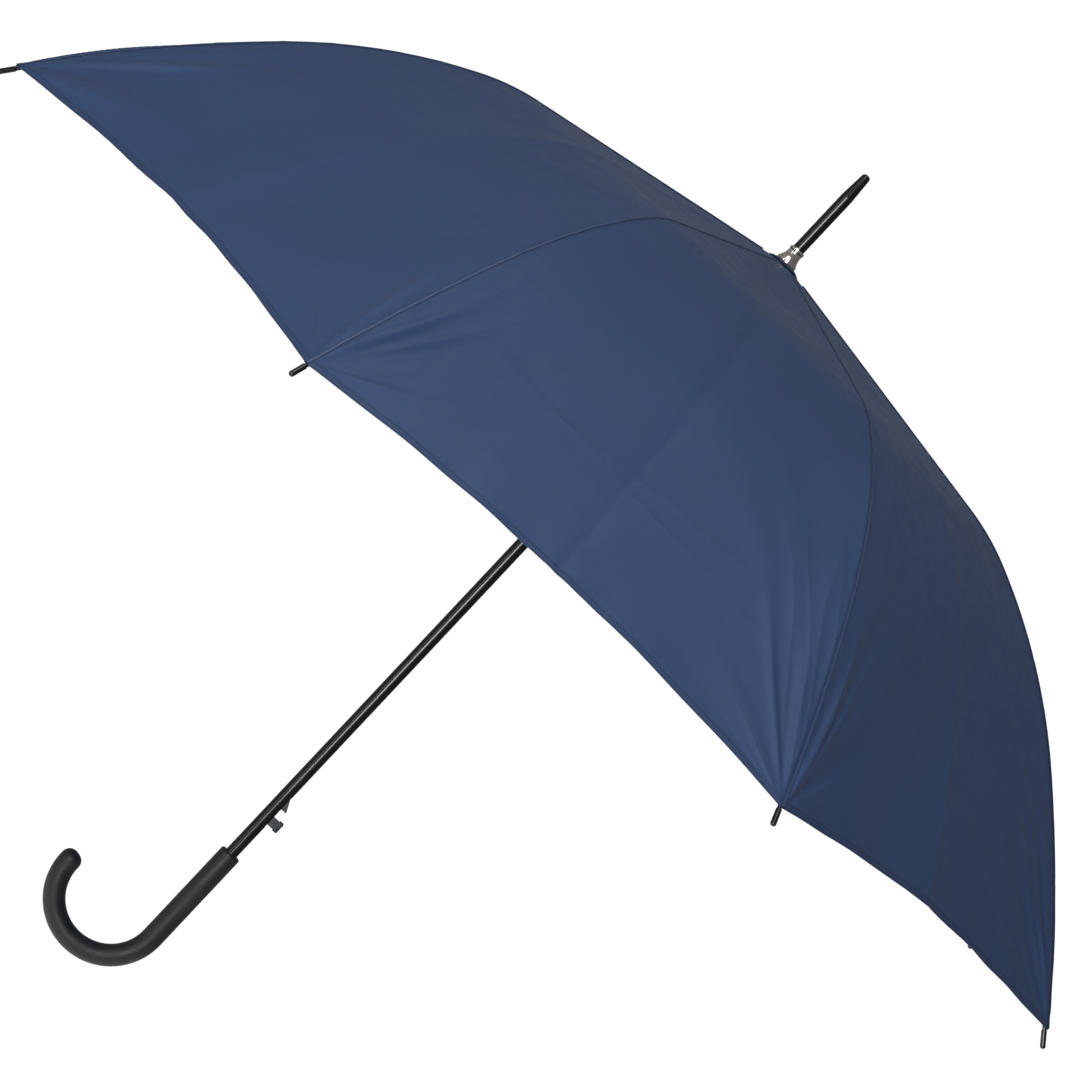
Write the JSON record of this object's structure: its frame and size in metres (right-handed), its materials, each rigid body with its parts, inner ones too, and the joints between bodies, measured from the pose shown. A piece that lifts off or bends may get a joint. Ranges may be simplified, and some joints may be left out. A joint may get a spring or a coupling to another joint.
{
  "type": "stick umbrella",
  "caption": "Automatic stick umbrella, open: navy canopy on folding ribs, runner and stretchers on a slim steel shaft, push-button catch, metal collar, ferrule and crook handle.",
  "frame": {"origin": "middle of the handle's straight grip, on the shaft's axis", "axes": "+Z along the shaft to the ferrule; the crook hooks towards -X; the push button faces +X"},
  "size_m": [0.9894, 0.9894, 0.824],
  "materials": {
    "shaft_steel": "gloss black enamel",
    "grip_rubber": "matte soft-touch coating",
    "black_gloss": "gloss black",
    "nickel": "polished nickel",
    "canopy_cloth": "navy blue woven polyester with a light sheen",
    "hub_plastic": "satin black",
    "spring_steel": "drawn wire",
    "catch_steel": "pressed strip",
    "button_plastic": "satin dark grey",
    "rib_steel": "black electrophoretic paint",
    "rod_black": "glass-fibre rod, gloss black"
  },
  "bodies": {
    "root": {"shaft_tube": "shaft_steel", "handle_crook": "grip_rubber", "ferrule_cap": "black_gloss", "crown_collar": "nickel", "crown_rosette": "canopy_cloth", "top_notch": "hub_plastic", "notch_wire": "spring_steel", "notch_pin": "spring_steel", "runner_stop_pin": "spring_steel", "lever_pin": "spring_steel", "opening_spring": "spring_steel", "lever_spring": "spring_steel"},
    "release": {"catch_lever": "catch_steel", "release_button": "button_plastic"},
    "runner": {"runner_sleeve": "hub_plastic", "runner_wire": "spring_steel"},
    "rib_1": {"rib_inner_1": "rib_steel", "canopy_panel_1": "canopy_cloth"},
    "rib_end_1": {"rib_outer_1": "rod_black", "rib_tip_1": "black_gloss"},
    "strut_1": {"stretcher_1": "rib_steel"},
    "rib_2": {"rib_inner_2": "rib_steel", "canopy_panel_2": "canopy_cloth"},
    "rib_end_2": {"rib_outer_2": "rod_black", "rib_tip_2": "black_gloss"},
    "strut_2": {"stretcher_2": "rib_steel"},
    "rib_3": {"rib_inner_3": "rib_steel", "canopy_panel_3": "canopy_cloth"},
    "rib_end_3": {"rib_outer_3": "rod_black", "rib_tip_3": "black_gloss"},
    "strut_3": {"stretcher_3": "rib_steel"},
    "rib_4": {"rib_inner_4": "rib_steel", "canopy_panel_4": "canopy_cloth"},
    "rib_end_4": {"rib_outer_4": "rod_black", "rib_tip_4": "black_gloss"},
    "strut_4": {"stretcher_4": "rib_steel"},
    "rib_5": {"rib_inner_5": "rib_steel", "canopy_panel_5": "canopy_cloth"},
    "rib_end_5": {"rib_outer_5": "rod_black", "rib_tip_5": "black_gloss"},
    "strut_5": {"stretcher_5": "rib_steel"},
    "rib_6": {"rib_inner_6": "rib_steel", "canopy_panel_6": "canopy_cloth"},
    "rib_end_6": {"rib_outer_6": "rod_black", "rib_tip_6": "black_gloss"},
    "strut_6": {"stretcher_6": "rib_steel"},
    "rib_7": {"rib_inner_7": "rib_steel", "canopy_panel_7": "canopy_cloth"},
    "rib_end_7": {"rib_outer_7": "rod_black", "rib_tip_7": "black_gloss"},
    "strut_7": {"stretcher_7": "rib_steel"},
    "rib_8": {"rib_inner_8": "rib_steel", "canopy_panel_8": "canopy_cloth"},
    "rib_end_8": {"rib_outer_8": "rod_black", "rib_tip_8": "black_gloss"},
    "strut_8": {"stretcher_8": "rib_steel"}
  },
  "joints": [
    {"name": "canopy_fold", "type": "hinge", "parent": "root", "child": "rib_1", "pos_m": [0.00785, 0.00325, 0.63494], "axis": [-0.3827, 0.9239, 0], "range_deg": [0, 78.25], "stiffness_Nm_per_rad": 0.12, "springref_deg": -114.59, "deforming": ["canopy_panel_1", "opening_spring"]},
    {"name": "rib_hinge_2", "type": "hinge", "parent": "root", "child": "rib_2", "pos_m": [0.00325, 0.00785, 0.63494], "axis": [-0.9239, 0.3827, 0], "range_deg": [0, 78.25], "stiffness_Nm_per_rad": 0.12, "springref_deg": -114.59, "deforming": ["canopy_panel_2"]},
    {"name": "rib_hinge_3", "type": "hinge", "parent": "root", "child": "rib_3", "pos_m": [-0.00325, 0.00785, 0.63494], "axis": [-0.9239, -0.3827, 0], "range_deg": [0, 78.25], "stiffness_Nm_per_rad": 0.12, "springref_deg": -114.59, "deforming": ["canopy_panel_3"]},
    {"name": "rib_hinge_4", "type": "hinge", "parent": "root", "child": "rib_4", "pos_m": [-0.00785, 0.00325, 0.63494], "axis": [-0.3827, -0.9239, 0], "range_deg": [0, 78.25], "stiffness_Nm_per_rad": 0.12, "springref_deg": -114.59, "deforming": ["canopy_panel_4"]},
    {"name": "rib_hinge_5", "type": "hinge", "parent": "root", "child": "rib_5", "pos_m": [-0.00785, -0.00325, 0.63494], "axis": [0.3827, -0.9239, 0], "range_deg": [0, 78.25], "stiffness_Nm_per_rad": 0.12, "springref_deg": -114.59, "deforming": ["canopy_panel_5"]},
    {"name": "rib_hinge_6", "type": "hinge", "parent": "root", "child": "rib_6", "pos_m": [-0.00325, -0.00785, 0.63494], "axis": [0.9239, -0.3827, 0], "range_deg": [0, 78.25], "stiffness_Nm_per_rad": 0.12, "springref_deg": -114.59, "deforming": ["canopy_panel_6"]},
    {"name": "rib_hinge_7", "type": "hinge", "parent": "root", "child": "rib_7", "pos_m": [0.00325, -0.00785, 0.63494], "axis": [0.9239, 0.3827, 0], "range_deg": [0, 78.25], "stiffness_Nm_per_rad": 0.12, "springref_deg": -114.59, "deforming": ["canopy_panel_7"]},
    {"name": "rib_hinge_8", "type": "hinge", "parent": "root", "child": "rib_8", "pos_m": [0.00785, -0.00325, 0.63494], "axis": [0.3827, 0.9239, 0], "range_deg": [0, 78.25], "stiffness_Nm_per_rad": 0.12, "springref_deg": -114.59, "deforming": ["canopy_panel_8"]},
    {"name": "stretcher_hinge_1", "type": "hinge", "parent": "rib_1", "child": "strut_1", "pos_m": [0.22403, 0.0928, 0.5914], "axis": [0.3827, -0.9239, 0], "range_deg": [0, 156.5]},
    {"name": "rib_flex_1", "type": "hinge", "parent": "rib_1", "child": "rib_end_1", "pos_m": [0.23371, 0.09681, 0.59315], "axis": [0.3827, -0.9239, 0], "range_deg": [0, 27.63]},
    {"name": "stretcher_hinge_2", "type": "hinge", "parent": "rib_2", "child": "strut_2", "pos_m": [0.0928, 0.22403, 0.5914], "axis": [0.9239, -0.3827, 0], "range_deg": [0, 156.5]},
    {"name": "rib_flex_2", "type": "hinge", "parent": "rib_2", "child": "rib_end_2", "pos_m": [0.09681, 0.23371, 0.59315], "axis": [0.9239, -0.3827, 0], "range_deg": [0, 27.63]},
    {"name": "stretcher_hinge_3", "type": "hinge", "parent": "rib_3", "child": "strut_3", "pos_m": [-0.0928, 0.22403, 0.5914], "axis": [0.9239, 0.3827, 0], "range_deg": [0, 156.5]},
    {"name": "rib_flex_3", "type": "hinge", "parent": "rib_3", "child": "rib_end_3", "pos_m": [-0.09681, 0.23371, 0.59315], "axis": [0.9239, 0.3827, 0], "range_deg": [0, 27.63]},
    {"name": "stretcher_hinge_4", "type": "hinge", "parent": "rib_4", "child": "strut_4", "pos_m": [-0.22403, 0.0928, 0.5914], "axis": [0.3827, 0.9239, 0], "range_deg": [0, 156.5]},
    {"name": "rib_flex_4", "type": "hinge", "parent": "rib_4", "child": "rib_end_4", "pos_m": [-0.23371, 0.09681, 0.59315], "axis": [0.3827, 0.9239, 0], "range_deg": [0, 27.63]},
    {"name": "stretcher_hinge_5", "type": "hinge", "parent": "rib_5", "child": "strut_5", "pos_m": [-0.22403, -0.0928, 0.5914], "axis": [-0.3827, 0.9239, 0], "range_deg": [0, 156.5]},
    {"name": "rib_flex_5", "type": "hinge", "parent": "rib_5", "child": "rib_end_5", "pos_m": [-0.23371, -0.09681, 0.59315], "axis": [-0.3827, 0.9239, 0], "range_deg": [0, 27.63]},
    {"name": "stretcher_hinge_6", "type": "hinge", "parent": "rib_6", "child": "strut_6", "pos_m": [-0.0928, -0.22403, 0.5914], "axis": [-0.9239, 0.3827, 0], "range_deg": [0, 156.5]},
    {"name": "rib_flex_6", "type": "hinge", "parent": "rib_6", "child": "rib_end_6", "pos_m": [-0.09681, -0.23371, 0.59315], "axis": [-0.9239, 0.3827, 0], "range_deg": [0, 27.63]},
    {"name": "stretcher_hinge_7", "type": "hinge", "parent": "rib_7", "child": "strut_7", "pos_m": [0.0928, -0.22403, 0.5914], "axis": [-0.9239, -0.3827, 0], "range_deg": [0, 156.5]},
    {"name": "rib_flex_7", "type": "hinge", "parent": "rib_7", "child": "rib_end_7", "pos_m": [0.09681, -0.23371, 0.59315], "axis": [-0.9239, -0.3827, 0], "range_deg": [0, 27.63]},
    {"name": "stretcher_hinge_8", "type": "hinge", "parent": "rib_8", "child": "strut_8", "pos_m": [0.22403, -0.0928, 0.5914], "axis": [-0.3827, -0.9239, 0], "range_deg": [0, 156.5]},
    {"name": "rib_flex_8", "type": "hinge", "parent": "rib_8", "child": "rib_end_8", "pos_m": [0.23371, -0.09681, 0.59315], "axis": [-0.3827, -0.9239, 0], "range_deg": [0, 27.63]},
    {"name": "runner_pivot", "type": "hinge", "parent": "strut_1", "child": "runner", "pos_m": [0.00785, 0.00325, 0.54786], "axis": [-0.3827, 0.9239, 0], "range_deg": [0, 78.25]},
    {"name": "release_press", "type": "hinge", "parent": "root", "child": "release", "pos_m": [0.002, 0, 0.038], "axis": [0, -1, 0], "range_deg": [0, 5], "stiffness_Nm_per_rad": 0.6, "springref_deg": -8.59, "deforming": ["lever_spring"]}
  ],
  "couplings": [
    {"joint": "stretcher_hinge_1", "follows": "canopy_fold", "ratio": 2},
    {"joint": "rib_flex_1", "follows": "canopy_fold", "ratio": 0.353},
    {"joint": "rib_hinge_2", "follows": "canopy_fold", "ratio": 1},
    {"joint": "stretcher_hinge_2", "follows": "canopy_fold", "ratio": 2},
    {"joint": "rib_flex_2", "follows": "canopy_fold", "ratio": 0.353},
    {"joint": "rib_hinge_3", "follows": "canopy_fold", "ratio": 1},
    {"joint": "stretcher_hinge_3", "follows": "canopy_fold", "ratio": 2},
    {"joint": "rib_flex_3", "follows": "canopy_fold", "ratio": 0.353},
    {"joint": "rib_hinge_4", "follows": "canopy_fold", "ratio": 1},
    {"joint": "stretcher_hinge_4", "follows": "canopy_fold", "ratio": 2},
    {"joint": "rib_flex_4", "follows": "canopy_fold", "ratio": 0.353},
    {"joint": "rib_hinge_5", "follows": "canopy_fold", "ratio": 1},
    {"joint": "stretcher_hinge_5", "follows": "canopy_fold", "ratio": 2},
    {"joint": "rib_flex_5", "follows": "canopy_fold", "ratio": 0.353},
    {"joint": "rib_hinge_6", "follows": "canopy_fold", "ratio": 1},
    {"joint": "stretcher_hinge_6", "follows": "canopy_fold", "ratio": 2},
    {"joint": "rib_flex_6", "follows": "canopy_fold", "ratio": 0.353},
    {"joint": "rib_hinge_7", "follows": "canopy_fold", "ratio": 1},
    {"joint": "stretcher_hinge_7", "follows": "canopy_fold", "ratio": 2},
    {"joint": "rib_flex_7", "follows": "canopy_fold", "ratio": 0.353},
    {"joint": "rib_hinge_8", "follows": "canopy_fold", "ratio": 1},
    {"joint": "stretcher_hinge_8", "follows": "canopy_fold", "ratio": 2},
    {"joint": "rib_flex_8", "follows": "canopy_fold", "ratio": 0.353},
    {"joint": "runner_pivot", "follows": "canopy_fold", "ratio": 1}
  ]
}
